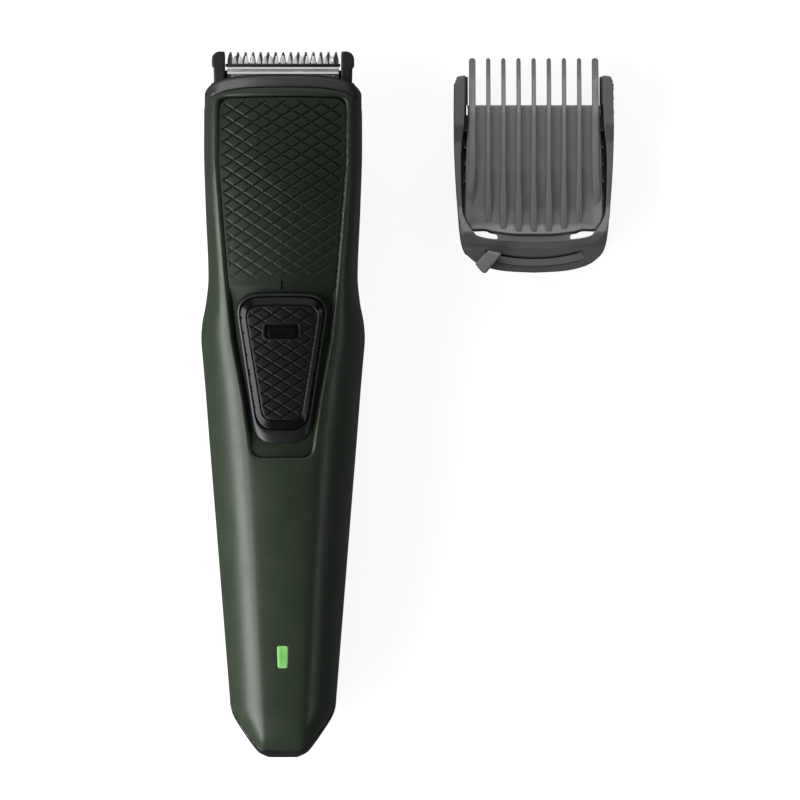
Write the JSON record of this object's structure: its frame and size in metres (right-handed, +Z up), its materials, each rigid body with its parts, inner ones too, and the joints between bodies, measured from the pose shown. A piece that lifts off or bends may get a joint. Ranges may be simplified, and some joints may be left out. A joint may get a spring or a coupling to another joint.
{
  "type": "beard trimmer",
  "caption": "Slim battery beard trimmer with a toothed cutting unit and a slide switch, lying beside its detachable ribbed length comb.",
  "frame": {"origin": "on the flat land under the handle, where it rests on a table", "axes": "+X to the right of the pair, +Y along the handle towards the blades, +Z up, out of the switch side"},
  "size_m": [0.0929, 0.1585, 0.0375],
  "materials": {
    "green_shell": "satin moulded plastic",
    "black_shell": "fine matte",
    "rim_plastic": "satin",
    "panel_plastic": "raised diamond pattern",
    "bezel_plastic": "smooth satin",
    "gloss_plastic": "gloss",
    "pad_rubber": "soft grip with diamonds",
    "lamp_window": "clear, lit green",
    "lamp": "lamp",
    "board": "solder mask",
    "chip": "moulded",
    "switch_case": "stamped",
    "battery_sleeve": "printed sleeve",
    "nickel": "nickel plate",
    "inner_plastic": "moulded",
    "steel": "ground and polished",
    "white_plastic": "low friction",
    "brass": "turned",
    "lead_red": "insulated wire",
    "unit_plastic": "fine matte",
    "comb_frame_plastic": "satin",
    "comb_insert_plastic": "satin",
    "lever_plastic": "satin"
  },
  "bodies": {
    "handle": {"front_shell": "green_shell", "rear_shell": "black_shell", "head_rim": "rim_plastic", "front_panel": "panel_plastic", "switch_bezel": "bezel_plastic", "led_window": "lamp_window", "charge_lamp": "lamp", "circuit_board": "board", "charge_chip": "chip", "slide_switch": "switch_case", "battery_cell": "battery_sleeve", "battery_tab_front": "nickel", "battery_tab_rear": "nickel", "charging_socket": "inner_plastic", "socket_pin": "nickel", "motor_can": "steel", "motor_end_cap": "white_plastic", "motor_bush": "brass", "motor_mount": "inner_plastic", "motor_screw_left": "steel", "motor_screw_right": "steel", "motor_lead_left": "lead_red", "motor_lead_right": "lead_red", "shell_screw": "steel"},
    "power_switch": {"switch_slider": "gloss_plastic", "switch_pad": "pad_rubber"},
    "drive": {"motor_shaft": "steel", "eccentric": "white_plastic"},
    "cutting_unit": {"blade_carrier": "unit_plastic", "fixed_blade": "steel", "blade_clip": "steel", "blade_spring": "steel", "blade_screw_left": "steel", "blade_screw_right": "steel"},
    "cutter": {"cutter_blade": "steel", "cutter_fork": "white_plastic"},
    "comb": {"comb_frame": "comb_frame_plastic"},
    "insert": {"comb_insert": "comb_insert_plastic"},
    "lever": {"comb_lever": "lever_plastic"}
  },
  "joints": [
    {"name": "switch_slide", "type": "slide", "parent": "handle", "child": "power_switch", "axis": [0, 1, 0], "range_m": [0, 0.003]},
    {"name": "motor_turn", "type": "hinge", "parent": "handle", "child": "drive", "pos_m": [0, 0.042, 0.0155], "axis": [0, 1, 0], "continuous": true},
    {"name": "unit_pull", "type": "slide", "parent": "handle", "child": "cutting_unit", "axis": [0, 1, 0], "range_m": [0, 0.02]},
    {"name": "cutter_stroke", "type": "slide", "parent": "cutting_unit", "child": "cutter", "axis": [1, 0, 0], "range_m": [-0.0011, 0.0011]},
    {"name": "comb_lift", "type": "slide", "parent": "handle", "child": "comb", "axis": [0, 0, 1], "range_m": [0, 0.06]},
    {"name": "lever_swing", "type": "hinge", "parent": "comb", "child": "lever", "pos_m": [0.0565, 0.07166, 0.014], "axis": [0, 0, 1], "range_deg": [0, 28]},
    {"name": "insert_slide", "type": "slide", "parent": "comb", "child": "insert", "axis": [0, 1, 0], "range_m": [0, 0.0041]}
  ],
  "couplings": [
    {"joint": "insert_slide", "follows": "lever_swing", "m_per_rad": 0.008185}
  ]
}
